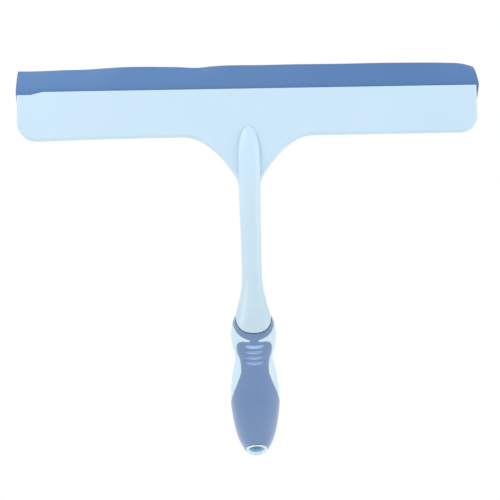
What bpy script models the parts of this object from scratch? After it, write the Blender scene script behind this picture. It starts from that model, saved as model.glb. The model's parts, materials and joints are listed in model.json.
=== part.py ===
"""Window squeegee: a two-shell head that holds a flexible blade, a forked neck, and a two-colour grip.

Metres, +Z up towards the blade, +X along the head, -Y towards the user. The origin is on the head's
mid-plane, under the neck, at the height of the wings' lower edges, where a wall holder carries them.
"""

import math

import bmesh
import bpy
from mathutils import Matrix, Vector
from mathutils.geometry import interpolate_bezier

GAP = 0.0003  # between pieces that touch

# Head
HEAD_WIDTH = 0.320
HEAD_HEIGHT = 0.033
HEAD_THICK = 0.006
LEFT_CORNER = 0.0138
RIGHT_CORNER = 0.0118
HEAD_EDGE = 0.0016
GUSSET_REACH = 0.045
GUSSET_DEPTH = 0.0325
GUSSET_FOOT = 0.0077
WING_DROP = 0.0012
TONGUE_HALF = 0.0045
TONGUE_DEPTH = 0.062
TONGUE_THICK = 0.005
NOTCH_DEPTH = 0.002
NOTCH_LENGTH = 0.0095
NOTCH_RAMP = 0.0083
PEG_RADIUS = 0.0014
PEG_LENGTH = 0.0015
PEG_SPACING = 0.046
PEG_HEIGHT = 0.012

# Blade: a bead and a web in the channel, and a lip that bends over the channel's mouth
BLADE_LENGTH = 0.3226
BLADE_MIDDLE = 0.0006
BEAD_RADIUS = 0.0015
BEAD_HEIGHT = 0.0235
WEB_HALF = 0.0009
LIP_HALF = 0.0011
LIP_TIP_HALF = 0.0008
LIP_TOP = 0.0506
PIVOT_ABOVE_MOUTH = 0.0016
WEB_ABOVE_MOUTH = 0.0001

# Neck and handle: height, half width and half depth of the sections
NECK_SECTIONS = [
    (0.0066, 0.0013, 0.0034),
    (0.0056, 0.0034, 0.0044),
    (0.0034, 0.0050, 0.0054),
    (-0.0011, 0.0066, 0.0064),
    (-0.0090, 0.0080, 0.0072),
    (-0.0200, 0.0083, 0.0074),
    (-0.0280, 0.0082, 0.0074),
    (-0.0370, 0.0076, 0.0073),
    (-0.0620, 0.0072, 0.0070),
    (-0.0880, 0.0069, 0.0068),
    (-0.0996, 0.0069, 0.0068),
    (-0.1079, 0.0077, 0.0073),
    (-0.1162, 0.0095, 0.0086),
    (-0.1245, 0.0117, 0.0102),
    (-0.1320, 0.0141, 0.0117),
    (-0.1415, 0.0160, 0.0128),
]
GRIP_SECTIONS = [
    (-0.0960, 0.0069, 0.0064),
    (-0.1079, 0.0077, 0.0070),
    (-0.1162, 0.0095, 0.0080),
    (-0.1245, 0.0117, 0.0092),
    (-0.1327, 0.0144, 0.0104),
    (-0.1370, 0.0153, 0.0109),
    (-0.1412, 0.0152, 0.0110),
    (-0.1475, 0.0142, 0.0106),
    (-0.1534, 0.0125, 0.0104),
    (-0.1595, 0.0136, 0.0107),
    (-0.1660, 0.0150, 0.0113),
    (-0.1740, 0.0160, 0.0119),
    (-0.1822, 0.0162, 0.0123),
    (-0.1904, 0.0155, 0.0124),
    (-0.1987, 0.0142, 0.0121),
    (-0.2069, 0.0122, 0.0113),
    (-0.2130, 0.0097, 0.0104),
    (-0.2175, 0.0067, 0.0092),
    (-0.2225, 0.0022, 0.0074),
]
LEAN = 0.014
LEAN_TOP = -0.020
LEAN_BOTTOM = -0.220
NECK_SQUARENESS = 2.5
GRIP_SQUARENESS = 2.2
RING_POINTS = 28
RING_STEP = 0.0045

# Neck: the slot over the head, the skirt over the core's spigot
SKIRT_TOP = -0.1268
SKIRT_HALF = 0.01195
SKIRT_DROP = 0.0123
SKIRT_SQUARENESS = 2.4
SKIRT_WALL = 0.0020
SPIGOT_TOP = -0.1110
NECK_BORE_TOP = -0.0700
NECK_WALL = 0.0036

# Grip: soft sleeve over the hard core, with side windows and thumb grooves
SLEEVE_PROUD = 0.0004
SLEEVE_WALL = 0.0020
CORE_WALL = 0.0027
CORE_CAVITY_BOTTOM = -0.1925
WINDOW = [  # right-hand window: height against distance from the middle
    (0.0028, -0.1438),
    (0.0055, -0.1428),
    (0.0084, -0.1412),
    (0.0106, -0.1393),
    (0.0122, -0.1368),
    (0.0135, -0.1334),
    (0.0142, -0.1314),
    (0.0200, -0.1240),
    (0.0200, -0.1875),
    (0.0164, -0.1838),
    (0.0139, -0.1777),
    (0.0110, -0.1711),
    (0.0091, -0.1655),
    (0.0090, -0.1610),
    (0.0097, -0.1563),
    (0.0111, -0.1521),
    (0.0118, -0.1488),
    (0.0110, -0.1459),
    (0.0085, -0.1450),
    (0.0036, -0.1455),
    (0.0025, -0.1446),
]
GROOVE_COUNT = 4
GROOVE_TOP = -0.1470
GROOVE_PITCH = 0.00365
GROOVE_HALF = 0.0073
GROOVE_SAG_TOP = 0.0008
GROOVE_SAG_BOTTOM = 0.0026
GROOVE_DEPTH = 0.0009
GROOVE_FULLNESS = 0.7

# Tail: a hard cap with a sloping end face, a plug inside the sleeve, and a liner for the hanging hole
END_HEIGHT = -0.2178
END_TILT = math.radians(19)
HOLE_RADIUS = 0.0054
HOLE_SLOPE = math.radians(46)
HOLE_FORWARD = 0.0018
INSERT_WALL = 0.0014
CAP_HEIGHT = 0.0005
PLUG_HEIGHT = 0.0034
DISH_FORWARD = 0.0011
DISH_HALVES = (0.0059, 0.0077, 0.0018)

LIGHT_BLUE = (0.62, 0.82, 0.95)
GRIP_BLUE = (0.20, 0.29, 0.49)
BLADE_BLUE = (0.13, 0.28, 0.54)


def clear_scene():
    for old in list(bpy.data.objects):
        bpy.data.objects.remove(old, do_unlink=True)


def make_collection(name, hidden=False):
    collection = bpy.data.collections.new(name)
    bpy.context.scene.collection.children.link(collection)
    collection.hide_render = hidden
    return collection


def make_material(name, colour, roughness):
    material = bpy.data.materials.new(name)
    material.use_nodes = True
    shader = material.node_tree.nodes["Principled BSDF"]
    shader.inputs["Base Color"].default_value = (*colour, 1.0)
    shader.inputs["Roughness"].default_value = roughness
    shader.inputs["Metallic"].default_value = 0.0
    return material


def add_object(name, mesh, collection):
    item = bpy.data.objects.new(name, mesh)
    collection.objects.link(item)
    return item


def finish_part(item, colour, roughness):
    """Gives a piece its own material and smooth shading with sharp corners."""
    item.data.materials.clear()
    item.data.materials.append(make_material(item.name, colour, roughness))
    item.data.shade_smooth()
    item.data.set_sharp_from_angle(angle=math.radians(35))


def make_cutter(item):
    item.hide_render = True
    item.display_type = "WIRE"


def bake(item):
    """Applies an object's modifiers to its mesh."""
    graph = bpy.context.evaluated_depsgraph_get()
    mesh = bpy.data.meshes.new_from_object(item.evaluated_get(graph))
    item.modifiers.clear()
    item.data = mesh


def boolean(item, other, operation):
    modifier = item.modifiers.new(f"{operation} {other.name}", "BOOLEAN")
    modifier.operation = operation
    modifier.object = other


def prism(name, outline, along, middle, half_length, collection, rim=0.0):
    """A flat outline extruded along Y (outline in X, Z) or along X (outline in Y, Z), with round rims."""
    curve = bpy.data.curves.new(name, "CURVE")
    curve.dimensions = "2D"
    curve.fill_mode = "BOTH"
    curve.extrude = half_length - rim
    curve.bevel_depth = rim
    curve.bevel_resolution = 2
    curve.offset = -rim
    spline = curve.splines.new("POLY")
    spline.points.add(len(outline) - 1)
    for point, (across, up) in zip(spline.points, outline):
        point.co = (across, up, 0, 1)
    spline.use_cyclic_u = True
    guide = add_object(f"{name} outline", curve, collection)
    bpy.context.view_layer.update()
    graph = bpy.context.evaluated_depsgraph_get()
    mesh = bpy.data.meshes.new_from_object(guide.evaluated_get(graph))
    mesh.name = name
    bpy.data.objects.remove(guide, do_unlink=True)
    axes = {
        "Y": Matrix(((1, 0, 0), (0, 0, -1), (0, 1, 0))),
        "X": Matrix(((0, 0, 1), (1, 0, 0), (0, 1, 0))),
    }
    offset = {"Y": Vector((0, middle, 0)), "X": Vector((middle, 0, 0))}
    work = bmesh.new()
    work.from_mesh(mesh)
    bmesh.ops.remove_doubles(work, verts=work.verts, dist=1e-6)
    work.transform(Matrix.Translation(offset[along]) @ axes[along].to_4x4())
    bmesh.ops.recalc_face_normals(work, faces=work.faces)
    work.to_mesh(mesh)
    work.free()
    return add_object(name, mesh, collection)


def box(name, low, high, collection):
    work = bmesh.new()
    bmesh.ops.create_cube(work, size=1.0)
    low, high = Vector(low), Vector(high)
    work.transform(Matrix.Translation((low + high) / 2) @ Matrix.Diagonal((*(high - low), 1)))
    mesh = bpy.data.meshes.new(name)
    work.to_mesh(mesh)
    work.free()
    return add_object(name, mesh, collection)


def cylinder(name, radius, start, end, sides, collection):
    start, end = Vector(start), Vector(end)
    work = bmesh.new()
    bmesh.ops.create_cone(
        work, cap_ends=True, segments=sides, radius1=radius, radius2=radius, depth=(end - start).length
    )
    turn = (end - start).to_track_quat("Z", "Y").to_matrix().to_4x4()
    work.transform(Matrix.Translation((start + end) / 2) @ turn)
    mesh = bpy.data.meshes.new(name)
    work.to_mesh(mesh)
    work.free()
    return add_object(name, mesh, collection)


def lean(height):
    """How far the handle's centre line has come forward at a height."""
    share = min(max((LEAN_TOP - height) / (LEAN_TOP - LEAN_BOTTOM), 0.0), 1.0)
    return -LEAN * share * share * (3 - 2 * share)


def section(sections, height):
    """Half width and half depth at a height, on a smooth curve through the listed sections."""
    index = 0
    while index < len(sections) - 2 and sections[index + 1][0] > height:
        index += 1
    rows = [sections[min(max(index + step, 0), len(sections) - 1)] for step in (-1, 0, 1, 2)]
    span = rows[1][0] - rows[2][0]
    share = min(max((rows[1][0] - height) / span, 0.0), 1.0)
    sizes = []
    for column in (1, 2):
        slopes = []
        for before, after in ((rows[0], rows[2]), (rows[1], rows[3])):
            slopes.append((after[column] - before[column]) / (before[0] - after[0]) * span)
        square, cube = share * share, share * share * share
        sizes.append(
            (2 * cube - 3 * square + 1) * rows[1][column]
            + (cube - 2 * square + share) * slopes[0]
            + (3 * square - 2 * cube) * rows[2][column]
            + (cube - square) * slopes[1]
        )
    return sizes


def form(name, sections, squareness, top, bottom, grow, collection):
    """A closed loft of rounded sections between two heights, grown or shrunk all round."""
    rings = max(2, round((top - bottom) / RING_STEP))
    work = bmesh.new()
    loops = []
    for ring in range(rings + 1):
        height = top + (bottom - top) * ring / rings
        half_width, half_depth = section(sections, height)
        loop = []
        for step in range(RING_POINTS):
            angle = 2 * math.pi * step / RING_POINTS
            across, deep = math.cos(angle), math.sin(angle)
            x = math.copysign(abs(across) ** (2 / squareness), across) * (half_width + grow)
            y = math.copysign(abs(deep) ** (2 / squareness), deep) * (half_depth + grow)
            loop.append(work.verts.new((x, y + lean(height), height)))
        loops.append(loop)
    for upper, lower in zip(loops, loops[1:]):
        for step in range(RING_POINTS):
            after = (step + 1) % RING_POINTS
            work.faces.new((upper[step], lower[step], lower[after], upper[after]))
    work.faces.new(loops[0])
    work.faces.new(reversed(loops[-1]))
    bmesh.ops.recalc_face_normals(work, faces=work.faces)
    mesh = bpy.data.meshes.new(name)
    work.to_mesh(mesh)
    work.free()
    return add_object(name, mesh, collection)


def arc(centre, radius, start, end, steps):
    points = []
    for step in range(steps + 1):
        angle = math.radians(start + (end - start) * step / steps)
        points.append((centre[0] + radius * math.cos(angle), centre[1] + radius * math.sin(angle)))
    return points


def mirrored(half):
    """Closes a right-hand outline, which runs from the middle to the middle, with its mirror image."""
    return half + [(-x, z) for x, z in reversed(half)]


def wing_outline(corner, drop):
    """A right-hand wing, whose lower edge may droop towards its end, and half of the gusset."""
    half = HEAD_WIDTH / 2
    wing = [(half, HEAD_HEIGHT)]
    wing += arc((half - corner, corner - drop), corner, 0, -90, 8)
    steps = 6 if drop else 1
    for step in range(1, steps):
        share = step / steps
        x = (half - corner) * (1 - share) + GUSSET_REACH * share
        wing.append((x, -drop * (1 - share) ** 2))
    gusset = interpolate_bezier(
        (GUSSET_REACH, 0, 0),
        (GUSSET_REACH - 0.0180, 0, 0),
        (GUSSET_FOOT + 0.0031, -GUSSET_DEPTH * 0.76, 0),
        (GUSSET_FOOT, -GUSSET_DEPTH, 0),
        14,
    )
    return wing + [(point.x, point.y) for point in gusset]


def head_outline():
    left = wing_outline(LEFT_CORNER, WING_DROP)
    return wing_outline(RIGHT_CORNER, 0) + [(-x, z) for x, z in reversed(left)]


def channel_outline(spare):
    """The blade root's keyhole section, in Y and Z, with some spare space all round."""
    radius, half = BEAD_RADIUS + spare, WEB_HALF + spare
    rise = math.degrees(math.acos(half / radius))
    outline = arc((0, BEAD_HEIGHT), radius, 180 - rise, 360 + rise, 12)
    top = HEAD_HEIGHT + (WEB_ABOVE_MOUTH if spare == 0 else 0.004)
    return outline + [(half, top), (-half, top)]


def make_head(parts, cutters):
    """Two half-thickness shells of one outline, with the blade's channel between them."""
    blank = prism("head blank", head_outline(), "Y", 0, HEAD_THICK / 2, cutters, HEAD_EDGE)
    tongue = box(
        "head tongue",
        (-TONGUE_HALF, -TONGUE_THICK / 2, -TONGUE_DEPTH),
        (TONGUE_HALF, TONGUE_THICK / 2, -GUSSET_DEPTH / 2),
        cutters,
    )
    boolean(blank, tongue, "UNION")
    bake(blank)
    channel = prism("channel cutter", channel_outline(GAP), "X", 0, HEAD_WIDTH, cutters)
    bottom = HEAD_HEIGHT - NOTCH_DEPTH
    left = -HEAD_WIDTH / 2
    notch_outline = [
        (left - 0.01, bottom),
        (left + NOTCH_LENGTH, bottom),
        (left + NOTCH_LENGTH + NOTCH_RAMP, HEAD_HEIGHT + 0.0002),
        (left + NOTCH_LENGTH + NOTCH_RAMP, HEAD_HEIGHT + 0.01),
        (left - 0.01, HEAD_HEIGHT + 0.01),
    ]
    notch = prism("entry notch cutter", notch_outline, "Y", -0.01, 0.0095, cutters)
    far = HEAD_WIDTH
    shells = []
    for name, y_low, y_high in (
        ("head_front_shell", -0.02, -GAP / 2),
        ("head_back_shell", GAP / 2, 0.02),
    ):
        shell = add_object(name, blank.data.copy(), parts)
        side = box(f"{name} side", (-far, y_low, -far), (far, y_high, far), cutters)
        boolean(shell, side, "INTERSECT")
        boolean(shell, channel, "DIFFERENCE")
        shells.append(shell)
    front, back = shells
    boolean(front, notch, "DIFFERENCE")
    for index in range(6):
        x = (index - 2.5) * PEG_SPACING
        hole = cylinder(
            f"peg hole {index}",
            PEG_RADIUS + GAP,
            (x, 0.001, PEG_HEIGHT),
            (x, -PEG_LENGTH - GAP, PEG_HEIGHT),
            12,
            cutters,
        )
        boolean(front, hole, "DIFFERENCE")
        peg = cylinder(
            f"peg {index}", PEG_RADIUS, (x, 0.001, PEG_HEIGHT), (x, -PEG_LENGTH, PEG_HEIGHT), 12, cutters
        )
        boolean(back, peg, "UNION")
    for shell in shells:
        bake(shell)
        finish_part(shell, LIGHT_BLUE, 0.35)


def make_blade(parts):
    root = prism("blade_root", channel_outline(0), "X", BLADE_MIDDLE, BLADE_LENGTH / 2, parts)
    finish_part(root, BLADE_BLUE, 0.5)
    pivot = HEAD_HEIGHT + PIVOT_ABOVE_MOUTH
    outline = arc((0, pivot), LIP_HALF, 180, 360, 8)
    outline += [(LIP_TIP_HALF, LIP_TOP), (-LIP_TIP_HALF, LIP_TOP)]
    lip = prism("blade_lip", outline, "X", BLADE_MIDDLE, BLADE_LENGTH / 2, parts)
    finish_part(lip, BLADE_BLUE, 0.5)


def skirt_outline(spare):
    """The neck's U-shaped lower end, grown by the spare width, and open far above."""
    right = [(0.03, 0.05), (0.03, SKIRT_TOP + 0.001), (SKIRT_HALF + spare, SKIRT_TOP)]
    steps = 12
    for step in range(1, steps):
        angle = math.pi / 2 * step / steps
        x = math.cos(angle) ** (2 / SKIRT_SQUARENESS) * (SKIRT_HALF + spare)
        z = math.sin(angle) ** (2 / SKIRT_SQUARENESS) * (SKIRT_DROP + spare)
        right.append((x, SKIRT_TOP - z))
    return mirrored(right)


def make_neck(parts, cutters):
    top, bottom = NECK_SECTIONS[0][0], NECK_SECTIONS[-1][0]
    neck = form("neck_stem", NECK_SECTIONS, NECK_SQUARENESS, top, bottom, 0, parts)
    skirt = prism("skirt keeper", skirt_outline(0), "Y", 0, 0.05, cutters)
    boolean(neck, skirt, "INTERSECT")
    half = HEAD_THICK / 2 + GAP
    slot = box("head slot", (-0.03, -half, -GUSSET_DEPTH - GAP), (0.03, half, 0.05), cutters)
    boolean(neck, slot, "DIFFERENCE")
    tongue = TONGUE_HALF + GAP
    pocket = box("tongue pocket", (-tongue, -half, -TONGUE_DEPTH - GAP), (tongue, half, 0), cutters)
    boolean(neck, pocket, "DIFFERENCE")
    socket = form(
        "spigot socket", GRIP_SECTIONS, GRIP_SQUARENESS, SPIGOT_TOP + GAP, -0.146, -SKIRT_WALL, cutters
    )
    boolean(neck, socket, "DIFFERENCE")
    bore = form(
        "neck bore", GRIP_SECTIONS, GRIP_SQUARENESS, NECK_BORE_TOP, SPIGOT_TOP - 0.003, -NECK_WALL, cutters
    )
    boolean(neck, bore, "DIFFERENCE")
    bake(neck)
    finish_part(neck, LIGHT_BLUE, 0.35)


def inset(points, distance):
    """Moves a clockwise outline inwards."""
    moved = []
    for index, point in enumerate(points):
        before = Vector(points[index - 1])
        here = Vector(point)
        after = Vector(points[(index + 1) % len(points)])
        first = (here - before).normalized()
        second = (after - here).normalized()
        normal = Vector((first.y + second.y, -first.x - second.x)).normalized()
        stretch = max(normal.dot(Vector((first.y, -first.x))), 0.5)
        moved.append(tuple(here + normal * distance / stretch))
    return moved


def end_blank(name, lift, collection):
    """A block whose top is the tail's sloping end face, raised by the lift."""
    block = box(name, (-0.05, -0.05, -0.05), (0.05, 0.05, 0), collection)
    place = Matrix.Translation((0, lean(END_HEIGHT), END_HEIGHT + lift))
    block.data.transform(place @ Matrix.Rotation(-END_TILT, 4, "X"))
    return block


def dish(name, collection):
    """An ellipsoid that hollows the end face around the hole's mouth."""
    work = bmesh.new()
    bmesh.ops.create_uvsphere(work, u_segments=24, v_segments=12, radius=1.0)
    place = Matrix.Translation((0, lean(END_HEIGHT), END_HEIGHT)) @ Matrix.Rotation(-END_TILT, 4, "X")
    work.transform(place @ Matrix.Translation((0, -DISH_FORWARD, 0)) @ Matrix.Diagonal((*DISH_HALVES, 1)))
    mesh = bpy.data.meshes.new(name)
    work.to_mesh(mesh)
    work.free()
    return add_object(name, mesh, collection)


def hole_line():
    """The hanging hole's axis: from below the front of the end face, up and out of the back."""
    direction = Vector((0, math.cos(HOLE_SLOPE), math.sin(HOLE_SLOPE)))
    mouth = Vector((0, lean(END_HEIGHT) - HOLE_FORWARD, END_HEIGHT))
    return mouth - direction * 0.03, mouth + direction * 0.04


def groove_outline(index):
    """A crescent with its points up."""
    top = GROOVE_TOP - index * GROOVE_PITCH
    steps = 8
    upper = []
    lower = []
    for step in range(steps + 1):
        share = -1 + 2 * step / steps
        bow = 1 - share * share
        upper.append((share * GROOVE_HALF, top - GROOVE_SAG_TOP * bow))
        lower.append((share * GROOVE_HALF, top - GROOVE_SAG_BOTTOM * bow ** GROOVE_FULLNESS))
    return upper + lower[-2:0:-1]


def make_grip(parts, cutters):
    start, end = hole_line()
    window_prisms = []
    for side, points in (("right", WINDOW), ("left", [(-x, z) for x, z in reversed(WINDOW)])):
        window_prisms.append(prism(f"{side} window", points, "Y", 0, 0.05, cutters))

    bottom = GRIP_SECTIONS[-1][0]
    sleeve = form("grip_sleeve", GRIP_SECTIONS, GRIP_SQUARENESS, -0.124, bottom, SLEEVE_PROUD, parts)
    boolean(sleeve, end_blank("sleeve end", CAP_HEIGHT + GAP, cutters), "DIFFERENCE")
    hollow = form(
        "sleeve hollow", GRIP_SECTIONS, GRIP_SQUARENESS, SPIGOT_TOP, bottom, -SLEEVE_WALL, cutters
    )
    boolean(sleeve, hollow, "DIFFERENCE")
    skirt = prism("skirt clearance", skirt_outline(GAP), "Y", 0, 0.05, cutters)
    boolean(sleeve, skirt, "DIFFERENCE")
    for window in window_prisms:
        boolean(sleeve, window, "DIFFERENCE")
    floor = form("groove floor", GRIP_SECTIONS, GRIP_SQUARENESS, -0.138, -0.170, -GROOVE_DEPTH, cutters)
    for index in range(GROOVE_COUNT):
        groove = prism(f"thumb groove {index}", groove_outline(index), "Y", -0.035, 0.02, cutters)
        boolean(groove, floor, "DIFFERENCE")
        bake(groove)
        boolean(sleeve, groove, "DIFFERENCE")
    seat = cylinder("insert seat", HOLE_RADIUS + INSERT_WALL + GAP, start, end, 28, cutters)
    boolean(sleeve, seat, "DIFFERENCE")

    core = form(
        "handle_core", GRIP_SECTIONS, GRIP_SQUARENESS, SPIGOT_TOP, bottom, -SLEEVE_WALL - GAP, parts
    )
    boolean(core, end_blank("core end", PLUG_HEIGHT + GAP, cutters), "DIFFERENCE")
    for side, points in (("right", WINDOW), ("left", [(-x, z) for x, z in reversed(WINDOW)])):
        pad = form(f"{side} pad", GRIP_SECTIONS, GRIP_SQUARENESS, -0.128, -0.189, 0, cutters)
        keeper = prism(f"{side} pad keeper", inset(points, GAP), "Y", 0, 0.05, cutters)
        boolean(pad, keeper, "INTERSECT")
        boolean(core, pad, "UNION")
    cavity = form(
        "core cavity",
        GRIP_SECTIONS,
        GRIP_SQUARENESS,
        SPIGOT_TOP + 0.005,
        CORE_CAVITY_BOTTOM,
        -SLEEVE_WALL - CORE_WALL,
        cutters,
    )
    boolean(core, cavity, "DIFFERENCE")
    boolean(core, seat, "DIFFERENCE")

    low = bottom - 0.0004
    insert = form("hanging_insert", GRIP_SECTIONS, GRIP_SQUARENESS, -0.188, low, SLEEVE_PROUD, parts)
    outside = cylinder("insert outside", HOLE_RADIUS + INSERT_WALL, start, end, 28, cutters)
    boolean(insert, outside, "INTERSECT")
    cap = form("end cap", GRIP_SECTIONS, GRIP_SQUARENESS, -0.207, bottom + 0.0004, 0.0001, cutters)
    boolean(cap, end_blank("cap top", CAP_HEIGHT, cutters), "INTERSECT")
    boolean(insert, cap, "UNION")
    inside = -SLEEVE_WALL - GAP
    plug = form("cap plug", GRIP_SECTIONS, GRIP_SQUARENESS, SPIGOT_TOP, bottom, inside, cutters)
    boolean(plug, end_blank("plug top", PLUG_HEIGHT, cutters), "INTERSECT")
    boolean(insert, plug, "UNION")
    boolean(insert, end_blank("end face", 0, cutters), "DIFFERENCE")
    hole = cylinder("hanging hole", HOLE_RADIUS, start, end, 24, cutters)
    boolean(insert, hole, "DIFFERENCE")
    boolean(insert, dish("dish", cutters), "DIFFERENCE")

    for item, colour, roughness in (
        (sleeve, GRIP_BLUE, 0.55),
        (core, LIGHT_BLUE, 0.35),
        (insert, LIGHT_BLUE, 0.35),
    ):
        bake(item)
        finish_part(item, colour, roughness)


def main():
    clear_scene()
    parts = make_collection("window_squeegee")
    cutters = make_collection("cutters", hidden=True)
    make_head(parts, cutters)
    make_blade(parts)
    make_neck(parts, cutters)
    make_grip(parts, cutters)
    for cutter in cutters.objects:
        make_cutter(cutter)


main()
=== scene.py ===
"""Looks for the window squeegee: fine surfaces, materials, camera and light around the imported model."""

import json
import math

import bmesh
import bpy
from mathutils import Matrix, Vector
from mathutils.geometry import interpolate_bezier


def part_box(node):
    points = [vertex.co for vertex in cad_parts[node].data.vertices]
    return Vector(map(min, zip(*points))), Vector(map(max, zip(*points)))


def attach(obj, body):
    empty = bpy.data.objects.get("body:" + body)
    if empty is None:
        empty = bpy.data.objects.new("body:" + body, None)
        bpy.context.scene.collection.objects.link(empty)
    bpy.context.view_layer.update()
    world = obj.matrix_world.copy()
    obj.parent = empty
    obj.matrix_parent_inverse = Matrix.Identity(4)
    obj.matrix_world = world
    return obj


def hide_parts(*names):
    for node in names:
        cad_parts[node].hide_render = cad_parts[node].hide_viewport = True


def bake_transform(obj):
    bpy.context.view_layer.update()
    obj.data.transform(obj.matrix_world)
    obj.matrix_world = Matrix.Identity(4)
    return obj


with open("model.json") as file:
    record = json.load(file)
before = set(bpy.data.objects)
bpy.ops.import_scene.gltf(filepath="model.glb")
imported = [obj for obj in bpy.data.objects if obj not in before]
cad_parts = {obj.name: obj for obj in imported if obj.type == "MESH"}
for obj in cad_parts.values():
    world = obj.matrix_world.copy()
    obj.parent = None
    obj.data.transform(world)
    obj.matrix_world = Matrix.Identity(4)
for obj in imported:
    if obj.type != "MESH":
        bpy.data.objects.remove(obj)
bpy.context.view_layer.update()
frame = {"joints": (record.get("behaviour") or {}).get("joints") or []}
scene = bpy.context.scene
FRAME_BODY = "squeegee_frame"

# ---------------------------------------------------------------- measures, in metres, as in the CAD
GAP = 0.0003
shell_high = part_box("head_front_shell")[1]
back_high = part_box("head_back_shell")[1]
root_low, root_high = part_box("blade_root")
lip_low, lip_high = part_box("blade_lip")

HEAD_HALF = shell_high.x
HEAD_TOP = back_high.z
HEAD_HALF_THICK = back_high.y
LEFT_CORNER = 0.0138
RIGHT_CORNER = 0.0118
HEAD_EDGE = 0.0016
GUSSET_REACH = 0.045
GUSSET_DEPTH = 0.0325
GUSSET_FOOT = 0.0077
GUSSET_EASE = 0.0180
GUSSET_FOOT_EASE = 0.0031
GUSSET_STEEP = 0.76
WING_DROP = 0.0012  # the left wing's lower edge droops by this at its end
NOTCH_DEPTH = 0.002
NOTCH_LENGTH = 0.0095
NOTCH_RAMP = 0.0083
NOTCH_MIDDLE = -0.01
NOTCH_HALF = 0.0095
BROKEN_EDGE = 0.00025
MARGIN = 0.01  # how far the head's cutters reach past it

BEAD_RADIUS = (root_high.y - root_low.y) / 2
BEAD_HEIGHT = root_low.z + BEAD_RADIUS
WEB_HALF = 0.0009
LIP_HALF = (lip_high.y - lip_low.y) / 2
LIP_TIP_HALF = 0.0008
LIP_TOP = lip_high.z
LIP_CHAMFER = 0.0003
PIVOT = frame["joints"][1]["pos_m"][2]

NECK_SECTIONS = [  # height, half width, half depth
    (0.0066, 0.0013, 0.0034),
    (0.0056, 0.0034, 0.0044),
    (0.0034, 0.0050, 0.0054),
    (-0.0011, 0.0066, 0.0064),
    (-0.0090, 0.0080, 0.0072),
    (-0.0200, 0.0083, 0.0074),
    (-0.0280, 0.0082, 0.0074),
    (-0.0370, 0.0076, 0.0073),
    (-0.0620, 0.0072, 0.0070),
    (-0.0880, 0.0069, 0.0068),
    (-0.0996, 0.0069, 0.0068),
    (-0.1079, 0.0077, 0.0073),
    (-0.1162, 0.0095, 0.0086),
    (-0.1245, 0.0117, 0.0102),
    (-0.1320, 0.0141, 0.0117),
    (-0.1415, 0.0160, 0.0128),
]
GRIP_SECTIONS = [  # height, half width, half depth
    (-0.0960, 0.0069, 0.0064),
    (-0.1079, 0.0077, 0.0070),
    (-0.1162, 0.0095, 0.0080),
    (-0.1245, 0.0117, 0.0092),
    (-0.1327, 0.0144, 0.0104),
    (-0.1370, 0.0153, 0.0109),
    (-0.1412, 0.0152, 0.0110),
    (-0.1475, 0.0142, 0.0106),
    (-0.1534, 0.0125, 0.0104),
    (-0.1595, 0.0136, 0.0107),
    (-0.1660, 0.0150, 0.0113),
    (-0.1740, 0.0160, 0.0119),
    (-0.1822, 0.0162, 0.0123),
    (-0.1904, 0.0155, 0.0124),
    (-0.1987, 0.0142, 0.0121),
    (-0.2069, 0.0122, 0.0113),
    (-0.2130, 0.0097, 0.0104),
    (-0.2175, 0.0067, 0.0092),
    (-0.2225, 0.0022, 0.0074),
]
GRIP_BOTTOM = GRIP_SECTIONS[-1][0]
LEAN = 0.014  # how far the grip's tail comes forward of the head
LEAN_TOP = -0.020
LEAN_BOTTOM = -0.220
NECK_SQUARENESS = 2.5
GRIP_SQUARENESS = 2.2
RING_POINTS = 72
RING_STEP = 0.0012  # from ring to ring along a loft

SKIRT_TOP = -0.1268
SKIRT_HALF = 0.01195
SKIRT_DROP = 0.0123
SKIRT_SQUARENESS = 2.4
SKIRT_WALL = 0.0020
SKIRT_STEP = 0.001
SPIGOT_TOP = -0.1110
SOCKET_BOTTOM = -0.146
SLOT_CLEARANCE = 0.0001

SLEEVE_PROUD = 0.0004  # the sleeve stands out from the core's side pads by this
SLEEVE_WALL = 0.0020
SLEEVE_TOP = -0.124
HOLLOW_TOP = -0.118
HOLLOW_BOTTOM = -0.224
PAD_TOP = -0.128
PAD_BOTTOM = -0.189
WINDOW = [  # right-hand window: distance from the middle, height
    (0.0028, -0.1438),
    (0.0055, -0.1428),
    (0.0084, -0.1412),
    (0.0106, -0.1393),
    (0.0122, -0.1368),
    (0.0135, -0.1334),
    (0.0142, -0.1314),
    (0.0200, -0.1240),
    (0.0200, -0.1875),
    (0.0164, -0.1838),
    (0.0139, -0.1777),
    (0.0110, -0.1711),
    (0.0091, -0.1655),
    (0.0090, -0.1610),
    (0.0097, -0.1563),
    (0.0111, -0.1521),
    (0.0118, -0.1488),
    (0.0110, -0.1459),
    (0.0085, -0.1450),
    (0.0036, -0.1455),
    (0.0025, -0.1446),
]
GROOVE_COUNT = 4
GROOVE_TOP = -0.1470
GROOVE_PITCH = 0.00365
GROOVE_HALF = 0.0073
GROOVE_SAG_TOP = 0.0008
GROOVE_SAG_BOTTOM = 0.0026
GROOVE_DEPTH = 0.0009
GROOVE_FULLNESS = 0.7
GROOVE_CUTTER_MIDDLE = -0.035
GROOVE_CUTTER_HALF = 0.02
GROOVE_FLOOR_TOP = -0.138
GROOVE_FLOOR_BOTTOM = -0.170
GROOVE_MIDDLE = 0.0014
GROOVE_SPREAD = 0.0006  # the marks reach this far above and below the grooves
GROOVE_MARGIN = 0.0004
GROOVE_CONTRAST = 2.2
GROOVE_ONSET = 0.25
# painted light: the top groove's floor is paler than the others because it faces the lamps; the floors'
# paleness is partly their own colour and partly painted light
GROOVE_LIGHT = (0.95, 0.62, 0.56, 0.58)  # how pale each groove's floor is, from the top

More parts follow.
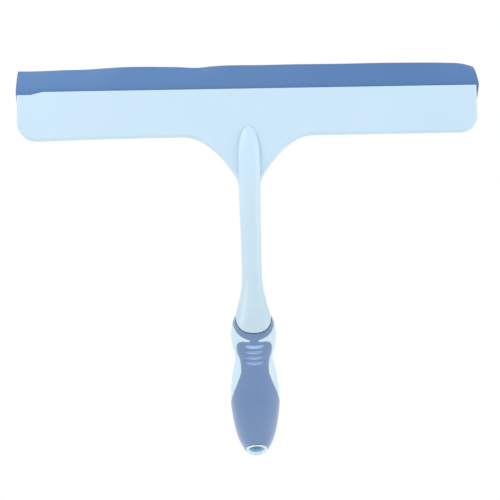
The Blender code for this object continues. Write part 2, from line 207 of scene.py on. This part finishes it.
END_HEIGHT = -0.2178
END_TILT = math.radians(19)
HOLE_RADIUS = 0.0054
HOLE_SLOPE = math.radians(46)
HOLE_FORWARD = 0.0018  # the hole's mouth lies this far in front of the end face's middle
HOLE_BELOW = 0.03
HOLE_ABOVE = 0.04
INSERT_WALL = 0.0014
INSERT_TOP = -0.188
CAP_HEIGHT = 0.0005
CAP_TOP = -0.207
CAP_PROUD = 0.0001
CAP_SHORT = 0.0004
PLUG_HEIGHT = 0.0034
PLUG_TOP = -0.203
PLUG_SHORT = 0.0008
# painted light and shade in the hanging hole: how far from its wall they are full, and where the painted
# shade deeper in begins and how long it takes to come in
WALL_SKIN = 0.0003  # the hole's tone is full this far from its wall, then fades over as much again
BORE_SHADE_START = 0.0034
BORE_SHADE_DEPTH = 0.0050
DISH_FORWARD = 0.0011
DISH_HALVES = (0.0059, 0.0077, 0.0018)

VOXEL = 0.00034  # grid of the remeshed pieces, followed by their smoothing passes
SMOOTHING = 6
INSERT_VOXEL = 0.00025
INSERT_SMOOTHING = 5
MERGE_DISTANCE = 0.000001
WIDE = 0.03  # half the width of the handle's widest cutters
REACH = 0.05  # how far the handle's cutters reach past it


# ---------------------------------------------------------------- mesh tools
def add_object(name, mesh):
    item = bpy.data.objects.new(name, mesh)
    scene.collection.objects.link(item)
    return item


def object_from(name, work):
    mesh = bpy.data.meshes.new(name)
    work.to_mesh(mesh)
    work.free()
    return add_object(name, mesh)


def bake(item):
    """Applies an object's modifiers to its mesh."""
    graph = bpy.context.evaluated_depsgraph_get()
    mesh = bpy.data.meshes.new_from_object(item.evaluated_get(graph))
    item.modifiers.clear()
    item.data = mesh


def cut(item, other, operation="DIFFERENCE"):
    """A Boolean with a cutter that is removed afterwards."""
    modifier = item.modifiers.new(operation, "BOOLEAN")
    modifier.operation = operation
    modifier.object = other
    bake(item)
    bpy.data.objects.remove(other, do_unlink=True)


def prism(name, outline, along, middle, half_length, rim=0.0):
    """A flat outline extruded along Y (outline in X, Z) or along X (outline in Y, Z), with round rims."""
    curve = bpy.data.curves.new(name, "CURVE")
    curve.dimensions = "2D"
    curve.fill_mode = "BOTH"
    curve.extrude = half_length - rim
    curve.bevel_depth = rim
    curve.bevel_resolution = 6
    curve.offset = -rim
    spline = curve.splines.new("POLY")
    spline.points.add(len(outline) - 1)
    for point, (across, up) in zip(spline.points, outline):
        point.co = (across, up, 0, 1)
    spline.use_cyclic_u = True
    guide = add_object(f"{name}_outline", curve)
    bpy.context.view_layer.update()
    graph = bpy.context.evaluated_depsgraph_get()
    mesh = bpy.data.meshes.new_from_object(guide.evaluated_get(graph))
    bpy.data.objects.remove(guide, do_unlink=True)
    if along == "Y":
        turn = Matrix(((1, 0, 0, 0), (0, 0, -1, middle), (0, 1, 0, 0), (0, 0, 0, 1)))
    else:
        turn = Matrix(((0, 0, 1, middle), (1, 0, 0, 0), (0, 1, 0, 0), (0, 0, 0, 1)))
    work = bmesh.new()
    work.from_mesh(mesh)
    bmesh.ops.remove_doubles(work, verts=work.verts, dist=MERGE_DISTANCE)
    work.transform(turn)
    bmesh.ops.recalc_face_normals(work, faces=work.faces)
    work.to_mesh(mesh)
    work.free()
    return add_object(name, mesh)


def box(name, low, high):
    work = bmesh.new()
    bmesh.ops.create_cube(work, size=1.0)
    low, high = Vector(low), Vector(high)
    work.transform(Matrix.Translation((low + high) / 2) @ Matrix.Diagonal((*(high - low), 1)))
    return object_from(name, work)


def cylinder(name, radius, start, end):
    work = bmesh.new()
    bmesh.ops.create_cone(
        work, cap_ends=True, segments=72, radius1=radius, radius2=radius, depth=(end - start).length
    )
    turn = (end - start).to_track_quat("Z", "Y").to_matrix().to_4x4()
    work.transform(Matrix.Translation((start + end) / 2) @ turn)
    return object_from(name, work)


def lean(height):
    """How far the handle's centre line has come forward at a height."""
    share = min(max((LEAN_TOP - height) / (LEAN_TOP - LEAN_BOTTOM), 0.0), 1.0)
    return -LEAN * share * share * (3 - 2 * share)


def smooth_value(rows, column, height):
    """A column of a table, read at a height on a smooth curve through its rows."""
    index = 0
    while index < len(rows) - 2 and rows[index + 1][0] > height:
        index += 1
    near = [rows[min(max(index + step, 0), len(rows) - 1)] for step in (-1, 0, 1, 2)]
    span = near[1][0] - near[2][0]
    share = min(max((near[1][0] - height) / span, 0.0), 1.0)
    slopes = []
    for before, after in ((near[0], near[2]), (near[1], near[3])):
        slopes.append((after[column] - before[column]) / (before[0] - after[0]) * span)
    square, cube = share * share, share * share * share
    return (
        (2 * cube - 3 * square + 1) * near[1][column]
        + (cube - 2 * square + share) * slopes[0]
        + (3 * square - 2 * cube) * near[2][column]
        + (cube - square) * slopes[1]
    )


def form(name, sections, squareness, top, bottom, grow):
    """A closed loft of rounded sections between two heights, grown or shrunk all round."""
    rings = max(2, round((top - bottom) / RING_STEP))
    work = bmesh.new()
    loops = []
    for ring in range(rings + 1):
        height = top + (bottom - top) * ring / rings
        half_width = smooth_value(sections, 1, height) + grow
        half_depth = smooth_value(sections, 2, height) + grow
        loop = []
        for step in range(RING_POINTS):
            angle = 2 * math.pi * step / RING_POINTS
            across, deep = math.cos(angle), math.sin(angle)
            x = math.copysign(abs(across) ** (2 / squareness), across) * half_width
            y = math.copysign(abs(deep) ** (2 / squareness), deep) * half_depth
            loop.append(work.verts.new((x, y + lean(height), height)))
        loops.append(loop)
    for upper, lower in zip(loops, loops[1:]):
        for step in range(RING_POINTS):
            after = (step + 1) % RING_POINTS
            work.faces.new((upper[step], lower[step], lower[after], upper[after]))
    work.faces.new(loops[0])
    work.faces.new(reversed(loops[-1]))
    bmesh.ops.recalc_face_normals(work, faces=work.faces)
    return object_from(name, work)


def soften(item, voxel=VOXEL, passes=SMOOTHING):
    """Remeshes a cut shape evenly and rounds its edges a little, as a mould does."""
    remesh = item.modifiers.new("remesh", "REMESH")
    remesh.mode = "VOXEL"
    remesh.voxel_size = voxel
    smooth = item.modifiers.new("smooth", "SMOOTH")
    smooth.factor = 0.5
    smooth.iterations = passes
    bake(item)
    item.data.shade_smooth()


def arc(centre, radius, start, end, steps):
    points = []
    for step in range(steps + 1):
        angle = math.radians(start + (end - start) * step / steps)
        points.append((centre[0] + radius * math.cos(angle), centre[1] + radius * math.sin(angle)))
    return points


def mirrored(half):
    """Closes a right-hand outline, which runs from the middle to the middle, with its mirror image."""
    return half + [(-x, z) for x, z in reversed(half)]


def rounded_outline(points, steps=6):
    """A closed smooth curve through the corner points."""
    smooth = []
    count = len(points)
    for index in range(count):
        before, here = Vector(points[index - 1]), Vector(points[index])
        after, beyond = Vector(points[(index + 1) % count]), Vector(points[(index + 2) % count])
        reach = (after - here).length / 3
        first = (after - before).normalized() * reach
        second = (beyond - here).normalized() * reach
        curve = interpolate_bezier(here, here + first, after - second, after, steps + 1)
        smooth += [tuple(point.xy) for point in curve[:-1]]
    return smooth


# ---------------------------------------------------------------- head
def wing_outline(corner, drop):
    """A right-hand wing, whose lower edge may droop towards its end, and half of the gusset."""
    wing = [(HEAD_HALF, HEAD_TOP + 2 * HEAD_EDGE)]
    wing += arc((HEAD_HALF - corner, corner - drop), corner, 0, -90, 24)
    steps = 12 if drop else 1
    for step in range(1, steps):
        share = step / steps
        x = (HEAD_HALF - corner) * (1 - share) + GUSSET_REACH * share
        wing.append((x, -drop * (1 - share) ** 2))
    gusset = interpolate_bezier(
        (GUSSET_REACH, 0, 0),
        (GUSSET_REACH - GUSSET_EASE, 0, 0),
        (GUSSET_FOOT + GUSSET_FOOT_EASE, -GUSSET_DEPTH * GUSSET_STEEP, 0),
        (GUSSET_FOOT, -GUSSET_DEPTH, 0),
        40,
    )
    return wing + [(point.x, point.y) for point in gusset]


def head_outline():
    left = wing_outline(LEFT_CORNER, WING_DROP)
    return wing_outline(RIGHT_CORNER, 0) + [(-x, z) for x, z in reversed(left)]


def channel_outline(spare):
    radius, half = BEAD_RADIUS + spare, WEB_HALF + spare
    rise = math.degrees(math.acos(half / radius))
    outline = arc((0, BEAD_HEIGHT), radius, 180 - rise, 360 + rise, 24)
    return outline + [(half, HEAD_TOP + MARGIN), (-half, HEAD_TOP + MARGIN)]


def notch_outline():
    """The blade's way in, at the left end of the front shell."""
    left = -HEAD_HALF
    return [
        (left - MARGIN, HEAD_TOP - NOTCH_DEPTH),
        (left + NOTCH_LENGTH, HEAD_TOP - NOTCH_DEPTH),
        (left + NOTCH_LENGTH + NOTCH_RAMP * 0.5, HEAD_TOP - NOTCH_DEPTH * 0.5),
        (left + NOTCH_LENGTH + NOTCH_RAMP, HEAD_TOP),
        (left + NOTCH_LENGTH + NOTCH_RAMP, HEAD_TOP + MARGIN),
        (left - MARGIN, HEAD_TOP + MARGIN),
    ]


def break_edges(shell):
    """Narrow bevels along the sharp edges, with smooth shading."""
    bevel = shell.modifiers.new("broken edges", "BEVEL")
    bevel.width = BROKEN_EDGE
    bevel.segments = 2
    bevel.limit_method = "ANGLE"
    bevel.angle_limit = math.radians(60)
    normals = shell.modifiers.new("normals", "WEIGHTED_NORMAL")
    normals.keep_sharp = True
    shell.data.shade_smooth()
    bake(shell)


def make_head(material):
    """Front and back shells, each with its half of the channel and rounded outer rims."""
    far = 2 * HEAD_HALF
    for node, y_low, y_high in (
        ("head_front_shell", -2 * MARGIN, -GAP / 2),
        ("head_back_shell", GAP / 2, 2 * MARGIN),
    ):
        shell = prism(f"{node}_fine", head_outline(), "Y", 0, HEAD_HALF_THICK, HEAD_EDGE)
        keep = box("keep", (-far, y_low, -far), (far, y_high, HEAD_TOP))
        cut(shell, keep, "INTERSECT")
        cut(shell, prism("channel", channel_outline(GAP), "X", 0, far))
        if node == "head_front_shell":
            cut(shell, prism("notch", notch_outline(), "Y", NOTCH_MIDDLE, NOTCH_HALF))
        break_edges(shell)
        finish_piece(shell, material, node)


# ---------------------------------------------------------------- neck and grip
def skirt_outline(spare):
    """The neck's outline seen from the front, with the rounded lower edge that overlaps the grip."""
    right = [(WIDE, REACH), (WIDE, SKIRT_TOP + SKIRT_STEP), (SKIRT_HALF + spare, SKIRT_TOP)]
    steps = 36
    for step in range(1, steps):
        angle = math.pi / 2 * step / steps
        x = math.cos(angle) ** (2 / SKIRT_SQUARENESS) * (SKIRT_HALF + spare)
        z = math.sin(angle) ** (2 / SKIRT_SQUARENESS) * (SKIRT_DROP + spare)
        right.append((x, SKIRT_TOP - z))
    return mirrored(right)


def finish_piece(item, material, node):
    """Gives a finished piece its material and its body, and hides the CAD node it stands for."""
    item.data.materials.clear()
    item.data.materials.append(material)
    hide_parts(node)
    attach(item, FRAME_BODY)


def grip_form(name, top, bottom, grow):
    return form(name, GRIP_SECTIONS, GRIP_SQUARENESS, top, bottom, grow)


def make_neck(material):
    top, bottom = NECK_SECTIONS[0][0], NECK_SECTIONS[-1][0]
    neck = form("neck_stem_fine", NECK_SECTIONS, NECK_SQUARENESS, top, bottom, 0)
    cut(neck, prism("skirt", skirt_outline(0), "Y", 0, REACH), "INTERSECT")
    half = HEAD_HALF_THICK + SLOT_CLEARANCE
    cut(neck, box("slot", (-WIDE, -half, -GUSSET_DEPTH - GAP), (WIDE, half, REACH)))
    cut(neck, grip_form("socket", SPIGOT_TOP + GAP, SOCKET_BOTTOM, -SKIRT_WALL))
    soften(neck)
    finish_piece(neck, material, "neck_stem")


def end_blank(name, lift):
    """A block whose top is the tail's sloping end face, raised by the lift."""
    block = box(name, (-REACH, -REACH, -REACH), (REACH, REACH, 0))
    place = Matrix.Translation((0, lean(END_HEIGHT), END_HEIGHT + lift))
    block.data.transform(place @ Matrix.Rotation(-END_TILT, 4, "X"))
    return block


def dish(name):
    """An ellipsoid that hollows the end face around the hole's mouth."""
    work = bmesh.new()
    bmesh.ops.create_uvsphere(work, u_segments=96, v_segments=48, radius=1.0)
    place = Matrix.Translation((0, lean(END_HEIGHT), END_HEIGHT)) @ Matrix.Rotation(-END_TILT, 4, "X")
    work.transform(place @ Matrix.Translation((0, -DISH_FORWARD, 0)) @ Matrix.Diagonal((*DISH_HALVES, 1)))
    return object_from(name, work)


def hole_axis():
    """The middle of the hanging hole's mouth, and the hole's direction, up and towards the back."""
    mouth = Vector((0, lean(END_HEIGHT) - HOLE_FORWARD, END_HEIGHT))
    return mouth, Vector((0, math.cos(HOLE_SLOPE), math.sin(HOLE_SLOPE)))


def hole_cutter(name, radius):
    mouth, direction = hole_axis()
    return cylinder(name, radius, mouth - direction * HOLE_BELOW, mouth + direction * HOLE_ABOVE)


def groove_outline(index):
    """A crescent with its points up."""
    top = GROOVE_TOP - index * GROOVE_PITCH
    steps = 20
    upper = []
    lower = []
    for step in range(steps + 1):
        share = -1 + 2 * step / steps
        bow = 1 - share * share
        upper.append((share * GROOVE_HALF, top - GROOVE_SAG_TOP * bow))
        lower.append((share * GROOVE_HALF, top - GROOVE_SAG_BOTTOM * bow ** GROOVE_FULLNESS))
    return upper + lower[-2:0:-1]


def windows():
    """Both side windows' outlines."""
    outline = rounded_outline(WINDOW)
    return outline, [(-x, z) for x, z in reversed(outline)]


def groove_depth(x, y, z):
    """How far a point of the sleeve lies under the grip's outer surface, on the side with the grooves."""
    half_width = smooth_value(GRIP_SECTIONS, 1, z) + SLEEVE_PROUD
    half_depth = smooth_value(GRIP_SECTIONS, 2, z) + SLEEVE_PROUD
    inward = max(1 - abs(x / half_width) ** GRIP_SQUARENESS, 0.0) ** (1 / GRIP_SQUARENESS)
    return y - (lean(z) - half_depth * inward)


def mark_grooves(sleeve):
    """Stores how much each point shows the grooves' paler floor, most of all in the top one; the paleness is
    partly the floor's own colour and partly painted light.
    """
    marks = sleeve.data.attributes.new("groove", "FLOAT", "POINT")
    lowest = GROOVE_TOP - (GROOVE_COUNT - 1) * GROOVE_PITCH - GROOVE_SAG_BOTTOM - GROOVE_SPREAD
    for index, vertex in enumerate(sleeve.data.vertices):
        x, y, z = vertex.co
        if abs(x) > GROOVE_HALF or not lowest < z < GROOVE_TOP + GROOVE_SPREAD or y > lean(z):
            continue
        depth = groove_depth(x, y, z)
        if depth > GROOVE_DEPTH + SLEEVE_PROUD + GROOVE_MARGIN:
            continue
        share = min(max(depth / GROOVE_DEPTH * GROOVE_CONTRAST - GROOVE_ONSET, 0.0), 1.0)
        turn = min(max(round((GROOVE_TOP - GROOVE_MIDDLE - z) / GROOVE_PITCH), 0), GROOVE_COUNT - 1)
        marks.data[index].value = share * GROOVE_LIGHT[turn]


def make_sleeve(material):
    sleeve = grip_form("grip_sleeve_fine", SLEEVE_TOP, GRIP_BOTTOM, SLEEVE_PROUD)
    cut(sleeve, end_blank("end", CAP_HEIGHT + GAP))
    cut(sleeve, grip_form("hollow", HOLLOW_TOP, HOLLOW_BOTTOM, -SLEEVE_WALL))
    cut(sleeve, prism("skirt", skirt_outline(GAP), "Y", 0, REACH))
    for outline in windows():
        cut(sleeve, prism("window", outline, "Y", 0, REACH))
    for index in range(GROOVE_COUNT):
        groove = prism("groove", groove_outline(index), "Y", GROOVE_CUTTER_MIDDLE, GROOVE_CUTTER_HALF)
        cut(groove, grip_form("floor", GROOVE_FLOOR_TOP, GROOVE_FLOOR_BOTTOM, -GROOVE_DEPTH))
        cut(sleeve, groove)
    cut(sleeve, hole_cutter("seat", HOLE_RADIUS + INSERT_WALL + GAP))
    soften(sleeve)
    mark_grooves(sleeve)
    finish_piece(sleeve, material, "grip_sleeve")


def make_core(material):
    core = grip_form("handle_core_fine", SPIGOT_TOP, GRIP_BOTTOM, -SLEEVE_WALL - GAP)
    cut(core, end_blank("end", PLUG_HEIGHT + GAP))
    for outline in windows():
        pad = grip_form("pad", PAD_TOP, PAD_BOTTOM, 0)
        cut(pad, prism("keeper", outline, "Y", 0, REACH), "INTERSECT")
        cut(core, pad, "UNION")
    cut(core, hole_cutter("seat", HOLE_RADIUS + INSERT_WALL + GAP))
    soften(core)
    finish_piece(core, material, "handle_core")


def mark_bore(insert):
    """Stores how near each point lies to the hanging hole's wall, and how deep, for the hole's painted light
    near the wall and painted shade deeper in.
    """
    insert.data.attributes.new("mouth", "FLOAT", "POINT")
    insert.data.attributes.new("depth", "FLOAT", "POINT")
    hole_light_marks = insert.data.attributes["mouth"].data
    hole_shade_marks = insert.data.attributes["depth"].data
    mouth, direction = hole_axis()
    for index, vertex in enumerate(insert.data.vertices):
        along = (vertex.co - mouth).dot(direction)
        away = (vertex.co - mouth - direction * along).length
        nearness = min(max(2 - (away - HOLE_RADIUS) / WALL_SKIN, 0.0), 1.0)
        deepness = min(max((along - BORE_SHADE_START) / BORE_SHADE_DEPTH, 0.0), 1.0)
        hole_light_marks[index].value = nearness
        hole_shade_marks[index].value = nearness * deepness


def make_insert(material):
    """The tail cap, its plug and the hole's liner in one piece."""
    insert = grip_form("hanging_insert_fine", INSERT_TOP, GRIP_BOTTOM, SLEEVE_PROUD)
    cut(insert, hole_cutter("outside", HOLE_RADIUS + INSERT_WALL), "INTERSECT")
    cap = grip_form("cap", CAP_TOP, GRIP_BOTTOM + CAP_SHORT, CAP_PROUD)
    cut(cap, end_blank("cap_top", CAP_HEIGHT), "INTERSECT")
    cut(insert, cap, "UNION")
    plug = grip_form("plug", PLUG_TOP, GRIP_BOTTOM + PLUG_SHORT, -SLEEVE_WALL - GAP)
    cut(plug, end_blank("plug_top", PLUG_HEIGHT), "INTERSECT")
    cut(insert, plug, "UNION")
    cut(insert, end_blank("end", 0))
    cut(insert, hole_cutter("hole", HOLE_RADIUS))
    cut(insert, dish("dish"))
    soften(insert, INSERT_VOXEL, INSERT_SMOOTHING)
    mark_bore(insert)
    finish_piece(insert, material, "hanging_insert")


# ---------------------------------------------------------------- blade
BLADE_BEND = [  # distance along the head, in metres, and how far the lip's edge is bent back, in radians
    (-0.162, 0.66),
    (-0.152, 0.70),
    (-0.140, 0.67),
    (-0.128, 0.58),
    (-0.112, 0.54),
    (-0.099, 0.36),
    (-0.086, 0.16),
    (-0.072, 0.12),
    (-0.060, 0.24),
    (-0.048, 0.36),
    (-0.039, 0.52),
    (-0.032, 0.52),
    (-0.024, 0.30),
    (-0.012, 0.12),
    (0.008, 0.18),
    (0.035, 0.12),
    (0.060, 0.18),
    (0.095, 0.12),
    (0.125, 0.24),
    (0.140, 0.36),
    (0.149, 0.50),
    (0.155, 0.78),
    (0.162, 1.15),
]
LEFT_FLARE = 0.0012  # the lip's ends slope inwards by this much at their edge
RIGHT_FLARE = 0.0026
FLARE_START = 0.135
FLARE_LENGTH = 0.0256


def bend_at(x):
    """How far the lip's edge is bent back at a place along the head."""
    rows = [(-place, value) for place, value in BLADE_BEND]
    return smooth_value(rows, 1, -x)


def strip_profile():
    """The strip's section in Y and Z: bead, web, and a lip that tapers to a square-cut edge."""
    rise = math.degrees(math.acos(WEB_HALF / BEAD_RADIUS))
    outline = arc((0, BEAD_HEIGHT), BEAD_RADIUS, 180 - rise, 360 + rise, 18)
    right = [(WEB_HALF, HEAD_TOP), (LIP_HALF, PIVOT)]
    steps = 10
    for step in range(1, steps):
        share = step / steps
        right.append((LIP_HALF + (LIP_TIP_HALF - LIP_HALF) * share, PIVOT + (LIP_TOP - PIVOT) * share))
    right += [(LIP_TIP_HALF, LIP_TOP - LIP_CHAMFER), (LIP_TIP_HALF - LIP_CHAMFER, LIP_TOP)]
    return outline + right + [(-y, z) for y, z in reversed(right)]


def bent(x, y, z):
    """A point of the straight strip, moved to where the real lip has curled; its root ends with the head."""
    if z < HEAD_TOP - WEB_HALF:
        x = min(max(x, -HEAD_HALF), HEAD_HALF)
    length = LIP_TOP - PIVOT
    rise = z - PIVOT
    share = max(rise, 0) / length
    flare = LEFT_FLARE if x < 0 else RIGHT_FLARE
    near_end = min(max((abs(x) - FLARE_START) / FLARE_LENGTH, 0.0), 1.0)
    x -= math.copysign(flare * share * near_end**2, x)
    if rise <= 0:
        return x, y, z
    bend = bend_at(x) / length
    angle = bend * rise
    return (
        x,
        (1 - math.cos(angle)) / bend + y * math.cos(angle),
        PIVOT + math.sin(angle) / bend - y * math.sin(angle),
    )


def make_blade(material):
    profile = strip_profile()
    work = bmesh.new()
    loops = []
    count = 260
    for step in range(count + 1):
        x = root_low.x + (root_high.x - root_low.x) * step / count
        loops.append([work.verts.new(bent(x, y, z)) for y, z in profile])
    size = len(profile)
    for first, second in zip(loops, loops[1:]):
        for index in range(size):
            after = (index + 1) % size
            work.faces.new((first[index], second[index], second[after], first[after]))
    work.faces.new(loops[0])
    work.faces.new(reversed(loops[-1]))
    bmesh.ops.remove_doubles(work, verts=work.verts, dist=MERGE_DISTANCE)
    bmesh.ops.recalc_face_normals(work, faces=work.faces)
    blade = object_from("blade_strip_fine", work)
    blade.data.shade_smooth()
    blade.data.set_sharp_from_angle(angle=math.radians(40))
    blade.data.materials.append(material)
    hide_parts("blade_root", "blade_lip")
    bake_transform(blade)


# ---------------------------------------------------------------- materials
def new_material(name, roughness):
    material = bpy.data.materials.new(name)
    material.use_nodes = True
    shader = material.node_tree.nodes["Principled BSDF"]
    shader.inputs["Roughness"].default_value = roughness
    return material, material.node_tree, shader


def noise(tree, scale, detail=2.0):
    coordinates = tree.nodes.new("ShaderNodeTexCoord")
    texture = tree.nodes.new("ShaderNodeTexNoise")
    texture.inputs["Scale"].default_value = scale
    texture.inputs["Detail"].default_value = detail
    tree.links.new(coordinates.outputs["Object"], texture.inputs["Vector"])
    return texture


def tinted(tree, shader, low, high, scale):
    """Base colour that drifts between two close tones."""
    texture = noise(tree, scale)
    ramp = tree.nodes.new("ShaderNodeValToRGB")
    ramp.color_ramp.elements[0].position = 0.3
    ramp.color_ramp.elements[1].position = 0.7
    ramp.color_ramp.elements[0].color = (*low, 1)
    ramp.color_ramp.elements[1].color = (*high, 1)
    tree.links.new(texture.outputs["Fac"], ramp.inputs["Fac"])
    tree.links.new(ramp.outputs["Color"], shader.inputs["Base Color"])


def bumped(tree, shader, scale, distance, strength):
    """Fine surface grain."""
    texture = noise(tree, scale, 3.0)
    bump = tree.nodes.new("ShaderNodeBump")
    bump.inputs["Distance"].default_value = distance
    bump.inputs["Strength"].default_value = strength
    tree.links.new(texture.outputs["Fac"], bump.inputs["Height"])
    tree.links.new(bump.outputs["Normal"], shader.inputs["Normal"])


def pale_plastic(name, low, high):
    """Satin, slightly translucent plastic."""
    material, tree, shader = new_material(name, roughness=0.42)
    shader.inputs["Subsurface Weight"].default_value = 0.15
    shader.inputs["Subsurface Radius"].default_value = (0.6, 0.9, 1.0)
    shader.inputs["Subsurface Scale"].default_value = 0.0015
    tinted(tree, shader, low, high, scale=18)
    bumped(tree, shader, scale=900, distance=0.00003, strength=0.25)
    return material


def toned_by_mark(material, mark, tone):
    """Mixes a tone into a material's colour where the mesh carries the mark."""
    tree = material.node_tree
    shader = tree.nodes["Principled BSDF"]
    colour = shader.inputs["Base Color"].links[0].from_socket
    marks = tree.nodes.new("ShaderNodeAttribute")
    marks.attribute_name = mark
    mix = tree.nodes.new("ShaderNodeMix")
    mix.data_type = "RGBA"
    mix.inputs["B"].default_value = (*tone, 1)
    tree.links.new(marks.outputs["Fac"], mix.inputs["Factor"])
    tree.links.new(colour, mix.inputs["A"])
    tree.links.new(mix.outputs["Result"], shader.inputs["Base Color"])


def toned_along(material, axis, start, end, tone):
    """Multiplies a material's colour by a tone that comes in between two places along X or Z; each use here
    is a painted gradient of light or shade.
    """
    tree = material.node_tree
    shader = tree.nodes["Principled BSDF"]
    colour = shader.inputs["Base Color"].links[0].from_socket
    coordinates = tree.nodes.new("ShaderNodeTexCoord")
    split = tree.nodes.new("ShaderNodeSeparateXYZ")
    share = tree.nodes.new("ShaderNodeMapRange")
    share.inputs["From Min"].default_value = start
    share.inputs["From Max"].default_value = end
    mix = tree.nodes.new("ShaderNodeMix")
    mix.data_type = "RGBA"
    mix.blend_type = "MULTIPLY"
    mix.inputs["B"].default_value = (*tone, 1)
    tree.links.new(coordinates.outputs["Object"], split.inputs["Vector"])
    tree.links.new(split.outputs[axis], share.inputs["Value"])
    tree.links.new(share.outputs["Result"], mix.inputs["Factor"])
    tree.links.new(colour, mix.inputs["A"])
    tree.links.new(mix.outputs["Result"], shader.inputs["Base Color"])


def soft_grip(name):
    """Matt elastomer with a soft sheen; paler in the grooves, partly in its own colour and partly as painted
    light, and paler towards the tail as painted light.
    """
    material, tree, shader = new_material(name, roughness=0.62)
    shader.inputs["Sheen Weight"].default_value = 0.6
    shader.inputs["Sheen Roughness"].default_value = 0.6
    shader.inputs["Sheen Tint"].default_value = (0.95, 0.93, 1.0, 1)
    tinted(tree, shader, (0.073, 0.150, 0.303), (0.081, 0.160, 0.316), scale=60)
    bumped(tree, shader, scale=2600, distance=0.00005, strength=0.35)
    # painted light in part: the groove floors turn paler, the top one most
    toned_by_mark(material, "groove", (0.37, 0.55, 0.76))
    # painted light: the grip turns up to a quarter paler towards the tail
    toned_along(material, "Z", start=-0.185, end=-0.215, tone=(1.25, 1.16, 1.08))
    return material


def blade_rubber(name):
    material, tree, shader = new_material(name, roughness=0.45)
    tinted(tree, shader, (0.068, 0.163, 0.352), (0.076, 0.175, 0.368), scale=25)
    bumped(tree, shader, scale=1500, distance=0.00003, strength=0.2)
    return material


# ---------------------------------------------------------------- camera, light and floor
CAMERA_AZIMUTH = -1.74
CAMERA_ELEVATION = -8.0
CAMERA_ROLL = -1.37
CAMERA_DISTANCE = 1.2
CAMERA_TARGET = Vector((-0.0008, 0, -0.0799))
CAMERA_FOCAL_PIXELS = 1745.3
FRAME_PIXELS = 500
SENSOR = 36.0
FLOOR_HEIGHT = -0.42
FLOOR_HALF = 6
FLOOR_THICKNESS = 0.01
LIGHT_AIM = Vector((0, 0, -0.08))


def make_camera():
    data = bpy.data.cameras.new("camera")
    data.sensor_width = SENSOR
    data.lens = CAMERA_FOCAL_PIXELS / FRAME_PIXELS * SENSOR
    data.clip_end = 100
    camera = add_object("camera", data)
    azimuth, elevation = math.radians(CAMERA_AZIMUTH), math.radians(CAMERA_ELEVATION)
    back = Vector(
        (
            math.sin(azimuth) * math.cos(elevation),
            -math.cos(azimuth) * math.cos(elevation),
            math.sin(elevation),
        )
    )
    turn = back.to_track_quat("Z", "Y").to_matrix().to_4x4()
    roll = Matrix.Rotation(math.radians(CAMERA_ROLL), 4, "Z")
    camera.matrix_world = Matrix.Translation(CAMERA_TARGET + back * CAMERA_DISTANCE) @ turn @ roll
    scene.camera = camera


def make_light(name, place, size, energy):
    data = bpy.data.lights.new(name, "AREA")
    data.size = size
    data.energy = energy
    light = add_object(name, data)
    light.location = place
    aim = LIGHT_AIM - Vector(place)
    light.rotation_euler = aim.to_track_quat("-Z", "Y").to_euler()


def make_stage():
    world = bpy.data.worlds.new("studio")
    world.use_nodes = True
    world.node_tree.nodes["Background"].inputs["Color"].default_value = (1, 1, 1, 1)
    world.node_tree.nodes["Background"].inputs["Strength"].default_value = 1.0
    scene.world = world
    scene.view_settings.view_transform = "Standard"
    low = (-FLOOR_HALF, -FLOOR_HALF, FLOOR_HEIGHT - FLOOR_THICKNESS)
    floor = box("floor", low, (FLOOR_HALF, FLOOR_HALF, FLOOR_HEIGHT))
    material, _, shader = new_material("floor_paint", roughness=0.8)
    shader.inputs["Base Color"].default_value = (0.9, 0.9, 0.9, 1)
    floor.data.materials.append(material)
    make_light("key", place=(-1.2, -0.8, 1.1), size=0.7, energy=13.5)
    make_light("side", place=(1.3, -0.5, 0.3), size=0.7, energy=6)
    make_light("rear", place=(0.5, 1.5, 0.9), size=1.2, energy=9)


make_camera()
make_stage()
HEAD_TONES = (0.446, 0.592, 0.698), (0.460, 0.606, 0.712)
head_plastic = pale_plastic("head_plastic", *HEAD_TONES)
neck_plastic = pale_plastic("neck_plastic", *HEAD_TONES)
# painted shade: the neck darkens and turns a little yellower towards the grip
toned_along(neck_plastic, "Z", start=-0.03, end=-0.13, tone=(0.91, 0.88, 0.85))
core_plastic = pale_plastic("core_plastic", (0.455, 0.590, 0.665), (0.470, 0.605, 0.680))
# painted shade: the head darkens a little towards its right end
toned_along(head_plastic, "X", start=-0.10, end=0.16, tone=(0.96, 0.97, 0.975))
cap_plastic = pale_plastic("cap_plastic", (0.500, 0.620, 0.680), (0.515, 0.635, 0.695))
# painted light: the hanging hole's wall is paler
toned_by_mark(cap_plastic, "mouth", (0.700, 0.840, 0.920))
# painted shade: the hanging hole darkens deeper in
toned_by_mark(cap_plastic, "depth", (0.240, 0.480, 0.610))
grip_rubber = soft_grip("grip_rubber")
strip_rubber = blade_rubber("strip_rubber")
# painted shade: the blade strip darkens towards its right end
toned_along(strip_rubber, "X", start=-0.15, end=0.12, tone=(0.80, 0.86, 0.91))
make_head(head_plastic)
make_neck(neck_plastic)
make_core(core_plastic)
make_insert(cap_plastic)
make_sleeve(grip_rubber)
make_blade(strip_rubber)
